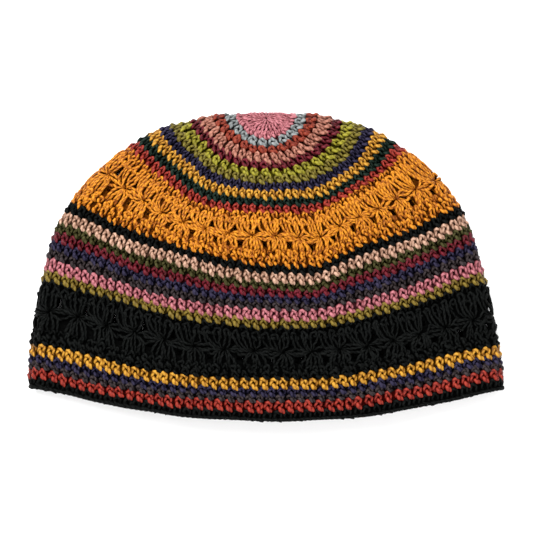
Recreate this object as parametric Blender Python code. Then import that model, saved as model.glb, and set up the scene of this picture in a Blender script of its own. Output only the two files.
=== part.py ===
"""A crochet kufi cap, laid down on its back half.

The cap is worked in rounds from the crown centre to the rim, and each round of yarn is a
piece of its own. It lies with its crown towards +Y and its mouth towards -Y. The back half
is flat on the ground, the two sides are tight folds, and the front half stands up as a soft
hump, highest below the crown. Sizes are in millimetres until the meshes are made.

Every round runs once along the front half and once along the back half. SECTIONS says where
the main rounds lie, and the rounds between them are interpolated.
"""

import math
from collections import namedtuple

import bmesh
import bpy
import numpy as np
from mathutils import Matrix, Vector

MM = 0.001

# The fabric
WALL = 3.4
GAP = 0.3

# The side folds: the part of a round's half that is given to the turn at each end
FOLD_STATION = 0.06

# How the front half's hump runs out towards the side folds
HUMP_EXPONENT = 1.5

# The crown centre: its height and tilt, and how full the disc is round it
POLE_HEIGHT = 16.0
POLE_TILT = 45.0
POLE_FULLNESS = 1.3

# The soft dent that runs up the front, right of the middle. It grows from DENT_START, a
# distance from the crown centre as in SECTIONS, and the rounds sag to its left.
DENT_X = 35.0
DENT_WIDTH = 12.0
DENT_DEPTH = 2.0
DENT_START = 41.7
DENT_GROWTH = 50.0
SAG_X = 30.0
SAG_WIDTH = 14.0

# Where a facet's corners lie along the front and the back half, between the folds
FRONT_COLUMNS = 17
BACK_COLUMNS = 12
FOLD_COLUMNS = (0.0, 0.5)

# The star bands: stars in a round, and the gaps between their fans
STARS = 33
BAND_ROWS = 3
EYELET_WIDTH = 3.4
EYELET_HEIGHT = 4.6
EYELET_REACH = 4.6

# A round, from its middle on the front half (front, measured from the crown centre) to its
# two ends at the side folds, and round the back half (back). bow and ease shape the curve
# between, sag lets it hang by the dent, and crest is its highest point. side is the height
# of its ends, and fold how far in from them, seen from above, it has turned level.
Section = namedtuple(
    "Section",
    "front left_x left_y left_bow left_ease right_x right_y right_bow right_ease"
    " sag back crest side fold",
)
SECTIONS = (
    Section(11.5, -16.9, 2.9, 2.0, 0.60, 16.9, 2.9, 2.0, 0.60, 0.0, 0.2, 26.0, 8.8, 11.5),
    Section(19.9, -30.4, 1.9, 2.1, 0.65, 29.6, 2.1, 2.1, 0.65, 0.0, -9.3, 32.0, 8.4, 10.5),
    Section(29.1, -43.9, -1.3, 2.3, 0.70, 43.9, -1.3, 2.3, 0.70, 0.0, -21.3, 37.3, 8.0, 9.5),
    Section(41.7, -61.7, -5.8, 2.6, 0.75, 62.3, -6.4, 2.8, 0.75, 0.5, -36.0, 42.8, 7.6, 8.5),
    Section(54.5, -79.2, -15.7, 3.0, 1.00, 81.5, -18.6, 2.2, 1.15, 3.2, -50.0, 46.2, 7.2, 7.5),
    Section(85.3, -114.1, -48.9, 1.8, 1.10, 112.9, -51.2, 1.8, 1.10, 4.1, -82.0, 47.5, 7.0, 7.0),
    Section(99.5, -123.0, -65.5, 1.85, 1.10, 120.0, -67.5, 1.85, 1.10, 3.2, -96.6, 45.6, 7.0, 7.0),
    Section(111.9, -127.8, -81.5, 1.9, 1.15, 124.4, -82.6, 2.0, 1.15, 1.0, -109.6, 43.4, 7.0, 7.0),
    Section(122.2, -131.0, -95.4, 1.95, 1.45, 128.3, -96.2, 2.1, 1.40, 0.7, -120.2, 41.4, 7.0, 7.0),
    Section(152.3, -137.2, -132.1, 2.8, 1.70, 135.8, -133.3, 2.8, 1.70, 0.0, -151.0, 36.0, 7.2, 7.0),
    Section(176.7, -138.6, -157.1, 2.3, 1.40, 138.9, -158.3, 2.3, 1.40, 0.0, -175.9, 32.5, 7.6, 7.0),
)

# The rounds of yarn, from the crown centre to the rim, with their depth along the middle of
# the front half. rows is how many facets high a round is, and eyelets where it is pierced.
Round = namedtuple("Round", "name depth rows eyelets color roughness")
ROUNDS = (
    Round("crown_centre_pink", 11.5, BAND_ROWS, (), (0.53, 0.12, 0.19), 0.75),
    Round("round_02_grey", 5.0, 1, (), (0.27, 0.34, 0.35), 0.75),
    Round("round_03_rust", 3.4, 1, (), (0.38, 0.05, 0.02), 0.75),
    Round("round_04_peach", 5.1, 1, (), (0.62, 0.26, 0.17), 0.75),
    Round("round_05_maroon", 4.1, 1, (), (0.15, 0.015, 0.03), 0.75),
    Round("round_06_lime", 4.1, 1, (), (0.39, 0.45, 0.02), 0.75),
    Round("round_07_olive", 4.1, 1, (), (0.21, 0.19, 0.02), 0.75),
    Round("round_08_navy", 4.4, 1, (), (0.03, 0.025, 0.09), 0.75),
    Round("round_09_yellow", 4.4, 1, (), (0.74, 0.35, 0.03), 0.75),
    Round("round_10_dark_green", 4.5, 1, (), (0.01, 0.03, 0.02), 0.75),
    Round("round_11_red", 3.9, 1, (), (0.48, 0.04, 0.02), 0.75),
    Round("star_band_12_orange", 30.8, BAND_ROWS, (0.36, 0.68), (0.69, 0.27, 0.01), 0.75),
    Round("round_13_black", 4.9, 1, (), (0.006, 0.007, 0.007), 0.8),
    Round("round_14_light_peach", 5.2, 1, (), (0.69, 0.38, 0.26), 0.75),
    Round("round_15_dark_olive", 4.1, 1, (), (0.05, 0.07, 0.02), 0.75),
    Round("round_16_maroon", 4.1, 1, (), (0.15, 0.015, 0.03), 0.75),
    Round("round_17_navy", 3.9, 1, (), (0.03, 0.025, 0.09), 0.75),
    Round("round_18_dark_brown", 4.4, 1, (), (0.04, 0.03, 0.02), 0.75),
    Round("round_19_pink", 5.9, 1, (), (0.53, 0.12, 0.19), 0.75),
    Round("round_20_mustard", 4.4, 1, (), (0.27, 0.22, 0.02), 0.75),
    Round("star_band_21_black", 30.1, BAND_ROWS, (0.36,), (0.006, 0.007, 0.007), 0.8),
    Round("round_22_yellow", 5.4, 1, (), (0.74, 0.35, 0.03), 0.75),
    Round("round_23_navy", 4.4, 1, (), (0.03, 0.025, 0.09), 0.75),
    Round("round_24_dark_brown", 3.4, 1, (), (0.04, 0.03, 0.02), 0.75),
    Round("round_25_red", 5.4, 1, (), (0.48, 0.04, 0.02), 0.75),
    Round("rim_26_black", 5.8, 1, (), (0.006, 0.007, 0.007), 0.8),
)

# How finely a round's curve and the crown disc are measured
CURVE_STEPS = 160
DISC_STEPS = 12
STEP_FRONT = 0.05
STEP_STATION = 0.004


def section_at(front):
    """The section of the round whose middle is `front` from the crown centre."""
    table = np.array(SECTIONS)
    fronts = table[:, 0]
    slopes = np.gradient(table, fronts, axis=0)
    i = int(np.clip(np.searchsorted(fronts, front) - 1, 0, len(fronts) - 2))
    span = fronts[i + 1] - fronts[i]
    t = (front - fronts[i]) / span
    blend = (2 * t**3 - 3 * t**2 + 1, t**3 - 2 * t**2 + t, 3 * t**2 - 2 * t**3, t**3 - t**2)
    row = (
        blend[0] * table[i]
        + blend[1] * span * slopes[i]
        + blend[2] * table[i + 1]
        + blend[3] * span * slopes[i + 1]
    )
    return Section(*row)


def half_curve(section, on_front):
    """One half of a round seen from above, from its left end to its right end."""
    angle = np.linspace(-math.pi / 2, math.pi / 2, CURVE_STEPS)
    t = np.abs(np.sin(angle))
    left = angle < 0
    end_x = np.where(left, section.left_x, section.right_x)
    end_y = np.where(left, section.left_y, section.right_y)
    bow = np.where(left, section.left_bow, section.right_bow)
    ease = np.where(left, section.left_ease, section.right_ease)
    middle = -section.front if on_front else section.back
    x = end_x * t
    y = middle + (end_y - middle) * (1 - np.clip(1 - t**bow, 0, 1) ** ease)
    if on_front:
        y = y - section.sag * np.exp(-(((x - SAG_X) / SAG_WIDTH) ** 2))
    return x, y


def row_point(front, around):
    """A point of the outer surface. around runs from 0 at the left fold along the front
    to 0.5 at the right fold, and back along the back half to 1."""
    around = around % 1.0
    on_front = around < 0.5
    station = 2 * around if on_front else 2 - 2 * around
    section = section_at(front)
    x, y = half_curve(section, on_front)
    length = np.concatenate(([0.0], np.cumsum(np.hypot(np.diff(x), np.diff(y)))))
    total = length[-1]
    from_end = min(station, 1 - station)
    if from_end < FOLD_STATION:
        turn = from_end / FOLD_STATION * math.pi / 2
        distance = section.fold * (1 - math.cos(turn))
        rise = math.sin(turn)
    else:
        share = (from_end - FOLD_STATION) / (0.5 - FOLD_STATION)
        distance = section.fold + share * (total / 2 - section.fold)
        rise = 1.0
    along = distance if station <= 0.5 else total - distance
    px = float(np.interp(along, length, x))
    py = float(np.interp(along, length, y))
    if not on_front:
        return np.array((px, py, section.side * (1 - rise)))
    hump = (1 - (2 * along / total - 1) ** 2) ** HUMP_EXPONENT
    low = 2 * section.side
    height = low + (section.crest - low) * hump
    strength = np.clip((front - DENT_START) / DENT_GROWTH, 0, 1)
    height -= DENT_DEPTH * strength * math.exp(-(((px - DENT_X) / DENT_WIDTH) ** 2))
    return np.array((px, py, section.side + (height - section.side) * rise))


def square_to(vector, axis):
    """The unit vector along the part of `vector` that is square to `axis`."""
    square = vector - axis * np.dot(vector, axis) / np.dot(axis, axis)
    return square / np.linalg.norm(square)


def disc_point(front, around):
    """A point of the crown disc, from its centre out to the first section."""
    edge = SECTIONS[0].front
    pole = np.array((0.0, 0.0, POLE_HEIGHT))
    rim = row_point(edge, around)
    along = row_point(edge, around + STEP_STATION) - row_point(edge, around - STEP_STATION)
    out = square_to(row_point(edge + STEP_FRONT, around) - rim, along)
    tilt = math.radians(POLE_TILT)
    facing = np.array((0.0, math.sin(tilt), math.cos(tilt)))
    start = square_to(rim - pole, facing)
    reach = POLE_FULLNESS * np.linalg.norm(rim - pole)
    t = front / edge
    return (
        (2 * t**3 - 3 * t**2 + 1) * pole
        + (t**3 - 2 * t**2 + t) * reach * start
        + (3 * t**2 - 2 * t**3) * rim
        + (t**3 - t**2) * reach * out
    )


def outer_point(front, around):
    """A point of the cap's outer surface."""
    if front < SECTIONS[0].front:
        return disc_point(front, around)
    return row_point(front, around)


def wall_point(front, around, depth, shift=0.0):
    """A point `depth` inside the outer surface, moved by `shift` towards the rim."""
    point = outer_point(front, around)
    along = outer_point(front, around + STEP_STATION) - outer_point(front, around - STEP_STATION)
    low = min(front, SECTIONS[-1].front - STEP_FRONT)
    low = max(low, STEP_FRONT)
    down = outer_point(low + STEP_FRONT, around) - outer_point(low - STEP_FRONT, around)
    along = along / np.linalg.norm(along)
    down = square_to(down, along)
    return point + down * shift - np.cross(down, along) * depth


def columns():
    """Where the corners of the facets lie round the cap."""
    fold = [share * FOLD_STATION for share in FOLD_COLUMNS]
    front = list(np.linspace(FOLD_STATION, 1 - FOLD_STATION, FRONT_COLUMNS))
    back = list(np.linspace(FOLD_STATION, 1 - FOLD_STATION, BACK_COLUMNS))
    ends = [1 - station for station in reversed(fold)]
    front_half = [station / 2 for station in fold + front + ends]
    back_half = [0.5 + station / 2 for station in fold[1:] + back + ends[:-1]]
    return front_half + back_half


def loop_at(front, depth, shift):
    """One closed ring of corners."""
    return [Vector(wall_point(front, around, depth, shift)) * MM for around in columns()]


def add_loop(mesh, points):
    return [mesh.verts.new(point) for point in points]


def bridge(mesh, upper, lower):
    """A belt of faces between two rings, each cut in two along the same diagonal."""
    for i, corner in enumerate(upper):
        j = (i + 1) % len(upper)
        mesh.faces.new((corner, upper[j], lower[j]))
        mesh.faces.new((corner, lower[j], lower[i]))


def close_wall(mesh, outer, inner):
    """Belts along both surfaces of a wall and across its open rim edge."""
    for rings in (outer, inner):
        for upper, lower in zip(rings, rings[1:]):
            bridge(mesh, upper, lower)
    bridge(mesh, outer[-1], inner[-1])


def ring_loops(start, end, rows, depth):
    """The rings of one wall surface of a round, from its crown edge to its rim edge."""
    levels = np.linspace(start, end, rows + 1)
    shifts = [GAP / 2] + [0.0] * (rows - 1) + [-GAP / 2]
    return [loop_at(level, depth, shift) for level, shift in zip(levels, shifts)]


def finish_mesh(name, mesh):
    bmesh.ops.recalc_face_normals(mesh, faces=mesh.faces)
    data = bpy.data.meshes.new(name)
    mesh.to_mesh(data)
    mesh.free()
    data.shade_smooth()
    data.set_sharp_from_angle(angle=math.radians(50))
    return data


def ring_mesh(name, start, end, rows):
    """A round of fabric: outer wall, rim edge, inner wall and crown edge."""
    mesh = bmesh.new()
    outer = [add_loop(mesh, loop) for loop in ring_loops(start, end, rows, 0.0)]
    inner = [add_loop(mesh, loop) for loop in ring_loops(start, end, rows, WALL)]
    close_wall(mesh, outer, inner)
    bridge(mesh, outer[0], inner[0])
    return finish_mesh(name, mesh)


def disc_mesh(name, end, rows):
    """The crown centre: a round of fabric whose first ring is closed to a point."""
    mesh = bmesh.new()
    first = end / rows
    outer = [add_loop(mesh, loop) for loop in ring_loops(first, end, rows - 1, 0.0)]
    inner = [add_loop(mesh, loop) for loop in ring_loops(first, end, rows - 1, WALL)]
    close_wall(mesh, outer, inner)
    tilt = math.radians(POLE_TILT)
    top = Vector((0.0, 0.0, POLE_HEIGHT))
    facing = Vector((0.0, math.sin(tilt), math.cos(tilt)))
    for ring, depth in ((outer[0], 0.0), (inner[0], WALL)):
        centre = mesh.verts.new((top - facing * depth) * MM)
        for i, corner in enumerate(ring):
            mesh.faces.new((corner, ring[(i + 1) % len(ring)], centre))
    return finish_mesh(name, mesh)


def eyelet_mesh(name, start, end, shares):
    """The gaps between the fans of a star band, as diamond prisms across its wall."""
    mesh = bmesh.new()
    for share in shares:
        front = start + (end - start) * share
        lengths = [0.0]
        samples = [outer_point(front, i / CURVE_STEPS) for i in range(CURVE_STEPS + 1)]
        for a, b in zip(samples, samples[1:]):
            lengths.append(lengths[-1] + np.linalg.norm(b - a))
        for star in range(STARS):
            at = np.interp(star / STARS * lengths[-1], lengths, np.linspace(0, 1, len(lengths)))
            middle = Vector(wall_point(front, at, WALL / 2))
            outward = (Vector(outer_point(front, at)) - middle).normalized()
            down = (Vector(outer_point(front + 1, at)) - Vector(outer_point(front, at)))
            down = (down - outward * down.dot(outward)).normalized()
            side = down.cross(outward)
            turn = Matrix((side, down, outward)).transposed().to_4x4()
            size = Matrix.Diagonal((EYELET_WIDTH / 2, EYELET_HEIGHT / 2, 1.0, 1.0))
            place = Matrix.Scale(MM, 4) @ Matrix.Translation(middle) @ turn @ size
            bmesh.ops.create_cone(
                mesh,
                cap_ends=True,
                segments=4,
                radius1=1.0,
                radius2=1.0,
                depth=2 * EYELET_REACH,
                matrix=place,
            )
    return finish_mesh(name, mesh)


def yarn_material(name, color, roughness):
    material = bpy.data.materials.new(name)
    material.use_nodes = True
    shader = material.node_tree.nodes["Principled BSDF"]
    shader.inputs["Base Color"].default_value = (*color, 1.0)
    shader.inputs["Roughness"].default_value = roughness
    shader.inputs["Metallic"].default_value = 0.0
    material.diffuse_color = (*color, 1.0)
    return material


def add_object(name, data, collection):
    item = bpy.data.objects.new(name, data)
    collection.objects.link(item)
    return item


def add_collection(name):
    collection = bpy.data.collections.new(name)
    bpy.context.scene.collection.children.link(collection)
    return collection


def pierce(item, start, end, shares, cutters):
    """Cuts a star band through between the fans."""
    data = eyelet_mesh(item.name + "_eyelets", start, end, shares)
    cutter = add_object(item.name + "_eyelets", data, cutters)
    cutter.hide_render = True
    cutter.display_type = "WIRE"
    cutter.location = item.location
    cut = item.modifiers.new("eyelets", "BOOLEAN")
    cut.operation = "DIFFERENCE"
    cut.solver = "EXACT"
    cut.object = cutter


def plan_middle():
    """The middle of the cap's outline seen from above, which is the model's origin."""
    rim = SECTIONS[-1]
    around = np.linspace(0, 1, CURVE_STEPS)
    ends = [section_at(front) for front in np.linspace(SECTIONS[0].front, rim.front, CURVE_STEPS)]
    low_x = min(end.left_x for end in ends)
    high_x = max(end.right_x for end in ends)
    levels = np.linspace(0.0, SECTIONS[0].front, DISC_STEPS)
    high_y = max(outer_point(level, at)[1] for level in levels for at in around)
    return Vector(((low_x + high_x) / 2, (high_y - rim.front) / 2, 0.0))


def main():
    for item in list(bpy.data.objects):
        bpy.data.objects.remove(item)
    cap = add_collection("crochet_kufi_cap")
    cutters = add_collection("cutters")
    origin = -plan_middle() * MM
    start = 0.0
    for part in ROUNDS:
        end = start + part.depth
        if start == 0.0:
            data = disc_mesh(part.name, end, part.rows)
        else:
            data = ring_mesh(part.name, start, end, part.rows)
        item = add_object(part.name, data, cap)
        item.location = origin
        data.materials.append(yarn_material(part.name, part.color, part.roughness))
        if part.eyelets:
            pierce(item, start, end, part.eyelets, cutters)
        start = end


main()
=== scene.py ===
"""The looks of the crochet kufi cap: every stitch of every round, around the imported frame.

The cap's outer surface is worked out as in the CAD source, from the same table of sections,
and stretched into a map. A place on the map is a distance from the crown centre (front, in
millimetres down the middle of the front half), a share of the way round (from the left fold)
and a height above the outer surface. Strands of yarn are drawn on the map as tubes, so that
they follow the folds. Sizes are in millimetres until the meshes are made.
"""

import math
from collections import namedtuple

import bpy
import numpy as np
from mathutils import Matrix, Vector


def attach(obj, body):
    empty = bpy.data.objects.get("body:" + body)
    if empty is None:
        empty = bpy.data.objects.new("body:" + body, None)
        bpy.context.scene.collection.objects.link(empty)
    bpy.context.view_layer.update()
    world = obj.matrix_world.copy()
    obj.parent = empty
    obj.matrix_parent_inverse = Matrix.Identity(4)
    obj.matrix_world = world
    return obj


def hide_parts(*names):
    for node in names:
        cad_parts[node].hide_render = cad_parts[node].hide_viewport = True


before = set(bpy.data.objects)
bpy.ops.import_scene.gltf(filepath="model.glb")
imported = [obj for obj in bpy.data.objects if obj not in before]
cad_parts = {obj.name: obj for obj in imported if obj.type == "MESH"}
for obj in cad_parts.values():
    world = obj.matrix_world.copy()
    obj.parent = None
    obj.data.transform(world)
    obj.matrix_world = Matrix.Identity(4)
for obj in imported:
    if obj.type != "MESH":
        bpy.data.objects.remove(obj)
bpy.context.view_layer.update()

MM = 0.001

# The surface, as in the CAD source
WALL = 3.4
FOLD_STATION = 0.06
HUMP_EXPONENT = 1.5
POLE_HEIGHT = 16.0
POLE_TILT = 45.0
POLE_FULLNESS = 1.3
DENT_X = 35.0
DENT_WIDTH = 12.0
DENT_DEPTH = 2.0
DENT_START = 41.7
DENT_GROWTH = 50.0
SAG_X = 30.0
SAG_WIDTH = 14.0

# A round: its middle on the front half (front, from the crown centre), its two ends at the
# side folds, and its middle on the back half (back). bow and ease shape the curve between,
# sag lets it hang by the dent, crest is its highest point, side the height of its ends, and
# fold how far in from them it has turned level.
Section = namedtuple(
    "Section",
    "front left_x left_y left_bow left_ease right_x right_y right_bow right_ease"
    " sag back crest side fold",
)
SECTIONS = (
    Section(11.5, -16.9, 2.9, 2.0, 0.60, 16.9, 2.9, 2.0, 0.60, 0.0, 0.2, 26.0, 8.8, 11.5),
    Section(19.9, -30.4, 1.9, 2.1, 0.65, 29.6, 2.1, 2.1, 0.65, 0.0, -9.3, 32.0, 8.4, 10.5),
    Section(29.1, -43.9, -1.3, 2.3, 0.70, 43.9, -1.3, 2.3, 0.70, 0.0, -21.3, 37.3, 8.0, 9.5),
    Section(41.7, -61.7, -5.8, 2.6, 0.75, 62.3, -6.4, 2.8, 0.75, 0.5, -36.0, 42.8, 7.6, 8.5),
    Section(54.5, -79.2, -15.7, 3.0, 1.00, 81.5, -18.6, 2.2, 1.15, 3.2, -50.0, 46.2, 7.2, 7.5),
    Section(85.3, -114.1, -48.9, 1.8, 1.10, 112.9, -51.2, 1.8, 1.10, 4.1, -82.0, 47.5, 7.0, 7.0),
    Section(99.5, -123.0, -65.5, 1.85, 1.10, 120.0, -67.5, 1.85, 1.10, 3.2, -96.6, 45.6, 7.0, 7.0),
    Section(111.9, -127.8, -81.5, 1.9, 1.15, 124.4, -82.6, 2.0, 1.15, 1.0, -109.6, 43.4, 7.0, 7.0),
    Section(122.2, -131.0, -95.4, 1.95, 1.45, 128.3, -96.2, 2.1, 1.40, 0.7, -120.2, 41.4, 7.0, 7.0),
    Section(152.3, -137.2, -132.1, 2.8, 1.70, 135.8, -133.3, 2.8, 1.70, 0.0, -151.0, 36.0, 7.2, 7.0),
    Section(176.7, -138.6, -157.1, 2.3, 1.40, 138.9, -158.3, 2.3, 1.40, 0.0, -175.9, 32.5, 7.6, 7.0),
)
CROWN_EDGE = SECTIONS[0].front
RIM = SECTIONS[-1].front

# How finely the map is measured
CURVE_STEPS = 400
TURN_STEPS = 900
MAP_SHARES = 1200
MAP_STEP = 0.8
DISC_LEVELS = 16
STEP_FRONT = 0.05
STEP_STATION = 0.004
PLAN_STEPS = 160
PLAN_LEVELS = 12

# The linear colour of each yarn. They follow the mean colours of the photograph's rounds, in
# part as another script worked them out.
YARNS = {
    "pink": (0.39, 0.137, 0.157),
    "grey": (0.22, 0.235, 0.235),
    "rust": (0.21, 0.032, 0.013),
    "peach": (0.345, 0.15, 0.106),
    "maroon": (0.11, 0.0046, 0.013),
    "lime": (0.24, 0.215, 0.017),
    "olive": (0.16, 0.13, 0.018),
    "navy": (0.03, 0.026, 0.0515),
    "yellow": (0.47, 0.24, 0.025),
    "dark_green": (0.013, 0.0235, 0.0175),
    "red": (0.26, 0.027, 0.015),
    "orange": (0.53, 0.2, 0.01),
    "black": (0.0054, 0.006, 0.0057),
    "light_peach": (0.45, 0.28, 0.2),
    "dark_olive": (0.052, 0.048, 0.018),
    "dark_brown": (0.04, 0.031, 0.032),
    "mustard": (0.165, 0.116, 0.0165),
}

# The rounds, from the crown centre to the rim: the node each replaces, its depth down the
# front, its yarn, its number of stitches, and how its stitches look. arch is half an arch's
# width in stitches, tooth how far the foot reaches into the next round, and strand the yarn's
# half thickness. The depths are the CAD source's, but the grey round ends 0.6 mm earlier.
Round = namedtuple("Round", "node depth yarn count arch tooth strand")
ROUNDS = (
    Round("crown_centre_pink", 11.5, "pink", 38, 0.27, 0.6, 0.80),
    Round("round_02_grey", 4.4, "grey", 21, 0.29, 0.2, 0.98),
    Round("round_03_rust", 4.0, "rust", 28, 0.26, 0.3, 1.14),
    Round("round_04_peach", 5.1, "peach", 41, 0.23, 1.3, 1.05),
    Round("round_05_maroon", 4.1, "maroon", 42, 0.30, 0.8, 0.86),
    Round("round_06_lime", 4.1, "lime", 41, 0.23, 1.0, 1.00),
    Round("round_07_olive", 4.1, "olive", 58, 0.28, 0.9, 0.92),
    Round("round_08_navy", 4.4, "navy", 78, 0.28, 0.9, 0.80),
    Round("round_09_yellow", 4.4, "yellow", 78, 0.29, 1.5, 0.86),
    Round("round_10_dark_green", 4.5, "dark_green", 78, 0.28, 0.9, 0.88),
    Round("round_11_red", 3.9, "red", 78, 0.24, 1.2, 0.84),
    Round("star_band_12_orange", 30.8, "orange", 90, 0.25, 1.1, 0.84),
    Round("round_13_black", 4.9, "black", 99, 0.28, 0.6, 1.00),
    Round("round_14_light_peach", 5.2, "light_peach", 99, 0.28, 1.2, 1.05),
    Round("round_15_dark_olive", 4.1, "dark_olive", 99, 0.28, 0.8, 1.00),
    Round("round_16_maroon", 4.1, "maroon", 99, 0.28, 1.0, 1.00),
    Round("round_17_navy", 3.9, "navy", 99, 0.28, 0.9, 1.00),
    Round("round_18_dark_brown", 4.4, "dark_brown", 99, 0.28, 0.8, 1.00),
    Round("round_19_pink", 5.9, "pink", 99, 0.28, 1.0, 1.05),
    Round("round_20_mustard", 4.4, "mustard", 99, 0.28, 1.2, 1.00),
    Round("star_band_21_black", 30.1, "black", 99, 0.28, 0.6, 0.96),
    Round("round_22_yellow", 5.4, "yellow", 99, 0.28, 1.4, 1.05),
    Round("round_23_navy", 4.4, "navy", 99, 0.28, 0.9, 1.00),
    Round("round_24_dark_brown", 3.4, "dark_brown", 99, 0.28, 0.7, 1.00),
    Round("round_25_red", 5.4, "red", 99, 0.28, 1.6, 1.05),
    Round("rim_26_black", 5.8, "black", 99, 0.28, 0.0, 1.05),
)

# How far each round's stitches stand left of those above them, in stitches
ROUND_SLIP = -0.2


def hermite(t):
    """How a smooth curve weighs its start, its first slope, its end and its last slope."""
    return 2 * t**3 - 3 * t**2 + 1, t**3 - 2 * t**2 + t, 3 * t**2 - 2 * t**3, t**3 - t**2


def section_at(front):
    """The section of the round whose middle is `front` from the crown centre."""
    table = np.array(SECTIONS)
    fronts = table[:, 0]
    slopes = np.gradient(table, fronts, axis=0)
    i = int(np.clip(np.searchsorted(fronts, front) - 1, 0, len(fronts) - 2))
    span = fronts[i + 1] - fronts[i]
    blend = hermite((front - fronts[i]) / span)
    row = (
        blend[0] * table[i]
        + blend[1] * span * slopes[i]
        + blend[2] * table[i + 1]
        + blend[3] * span * slopes[i + 1]
    )
    return Section(*row)


def half_curve(section, on_front):
    """One half of a round seen from above, from its left end to its right end."""
    angle = np.linspace(-math.pi / 2, math.pi / 2, CURVE_STEPS)
    t = np.abs(np.sin(angle))
    left = angle < 0
    end_x = np.where(left, section.left_x, section.right_x)
    end_y = np.where(left, section.left_y, section.right_y)
    bow = np.where(left, section.left_bow, section.right_bow)
    ease = np.where(left, section.left_ease, section.right_ease)
    middle = -section.front if on_front else section.back
    x = end_x * t
    y = middle + (end_y - middle) * (1 - np.clip(1 - t**bow, 0, 1) ** ease)
    if on_front:
        y = y - section.sag * np.exp(-(((x - SAG_X) / SAG_WIDTH) ** 2))
    return x, y


def half_points(front, station, on_front):
    """Points along one half of a round. station runs from 0 at the left to 1 at the right."""
    section = section_at(front)
    x, y = half_curve(section, on_front)
    length = np.concatenate(([0.0], np.cumsum(np.hypot(np.diff(x), np.diff(y)))))
    total = length[-1]
    from_end = np.minimum(station, 1 - station)
    turn = np.clip(from_end / FOLD_STATION, 0, 1) * math.pi / 2
    share = np.clip((from_end - FOLD_STATION) / (0.5 - FOLD_STATION), 0, 1)
    turning = section.fold * (1 - np.cos(turn))
    beyond = section.fold + share * (total / 2 - section.fold)
    distance = np.where(from_end < FOLD_STATION, turning, beyond)
    rise = np.sin(turn)
    along = np.where(station <= 0.5, distance, total - distance)
    px = np.interp(along, length, x)
    py = np.interp(along, length, y)
    if not on_front:
        return np.stack((px, py, section.side * (1 - rise)), axis=-1)
    hump = np.clip(1 - (2 * along / total - 1) ** 2, 0, 1) ** HUMP_EXPONENT
    low = 2 * section.side
    strength = np.clip((front - DENT_START) / DENT_GROWTH, 0, 1)
    height = low + (section.crest - low) * hump
    height = height - DENT_DEPTH * strength * np.exp(-(((px - DENT_X) / DENT_WIDTH) ** 2))
    return np.stack((px, py, section.side + (height - section.side) * rise), axis=-1)


def row_points(front, around):
    """Points of the outer surface. around runs from 0 at the left fold along the front to
    0.5 at the right fold, and back along the back half to 1."""
    around = around % 1.0
    on_front = around < 0.5
    station = np.where(on_front, 2 * around, 2 - 2 * around)
    ahead = half_points(front, station, True)
    behind = half_points(front, station, False)
    return np.where(on_front[:, None], ahead, behind)


def unit(vectors):
    return vectors / np.linalg.norm(vectors, axis=-1, keepdims=True)


def square_to(vectors, axes):
    """The unit vectors along the parts of `vectors` that are square to `axes`."""
    along = np.sum(vectors * axes, axis=-1, keepdims=True)
    share = along / np.sum(axes * axes, axis=-1, keepdims=True)
    return unit(vectors - axes * share)


def disc_points(front, around):
    """Points of the crown disc, from its centre out to the first section."""
    pole = np.array((0.0, 0.0, POLE_HEIGHT))
    rim = row_points(CROWN_EDGE, around)
    ahead = row_points(CROWN_EDGE, around + STEP_STATION)
    along = ahead - row_points(CROWN_EDGE, around - STEP_STATION)
    out = square_to(row_points(CROWN_EDGE + STEP_FRONT, around) - rim, along)
    tilt = math.radians(POLE_TILT)
    facing = np.array((0.0, math.sin(tilt), math.cos(tilt)))
    start = square_to(rim - pole, np.broadcast_to(facing, rim.shape))
    reach = POLE_FULLNESS * np.linalg.norm(rim - pole, axis=-1, keepdims=True)
    blend = hermite(front / CROWN_EDGE)
    return blend[0] * pole + blend[1] * reach * start + blend[2] * rim + blend[3] * reach * out


def plan_middle():
    """The middle of the cap's outline seen from above, which is the frame's origin."""
    ends = [section_at(front) for front in np.linspace(CROWN_EDGE, RIM, PLAN_STEPS)]
    low_x = min(end.left_x for end in ends)
    high_x = max(end.right_x for end in ends)
    around = np.linspace(0, 1, PLAN_STEPS)
    levels = np.linspace(0.0, CROWN_EDGE, PLAN_LEVELS)
    high_y = max(disc_points(level, around)[:, 1].max() for level in levels)
    return np.array(((low_x + high_x) / 2, (high_y - RIM) / 2, 0.0))


# How the rounds stray from even rows: they are drawn up a little more the further down the
# cap they are, and they sway and waver, in millimetres. WAVES is how often they waver on
# the way round, and WAVE_SLANT how far down the cap a wave takes to move on by one.
DRAWN_UP = 0.0105
SWAY = 0.5
WAVER = 0.25
WAVES = 11
WAVE_SLANT = 45
WAVE_START = 0.3
STRAY_START = 30.0

# Where the rounds hang lower than that, or are pulled up: the middle of the place, how far
# it reaches down the cap and round it, and by how much
Pull = namedtuple("Pull", "front share reach width shift")
PULLS = (
    Pull(46.0, 0.097, 14.0, 0.038, -2.0),
    Pull(54.0, 0.440, 10.0, 0.045, 1.8),
    Pull(92.0, 0.175, 12.0, 0.045, -1.9),
    Pull(92.0, 0.365, 12.0, 0.040, -1.5),
    Pull(115.0, 0.225, 10.0, 0.030, -1.1),
    Pull(158.0, 0.385, 12.0, 0.055, -1.6),
    Pull(166.0, 0.070, 6.0, 0.055, 1.6),
)


def pulled(front, share):
    """How far down the pulls together shift a place."""
    total = 0.0
    for pull in PULLS:
        down = (front - pull.front) / pull.reach
        aside = ((share - pull.share + 0.5) % 1.0 - 0.5) / pull.width
        total = total + pull.shift * np.exp(-(down**2) - aside**2)
    return total


def stray(front, share):
    """How much further down the cap than evenly spaced rounds a place lies."""
    sway = SWAY * np.sin(4 * math.pi * share)
    waver = WAVER * np.sin(2 * math.pi * (WAVES * share - front / WAVE_SLANT + WAVE_START))
    even = (waver - sway - DRAWN_UP * front) * np.clip(front / STRAY_START, 0, 1)
    return even + pulled(front, share)


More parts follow.
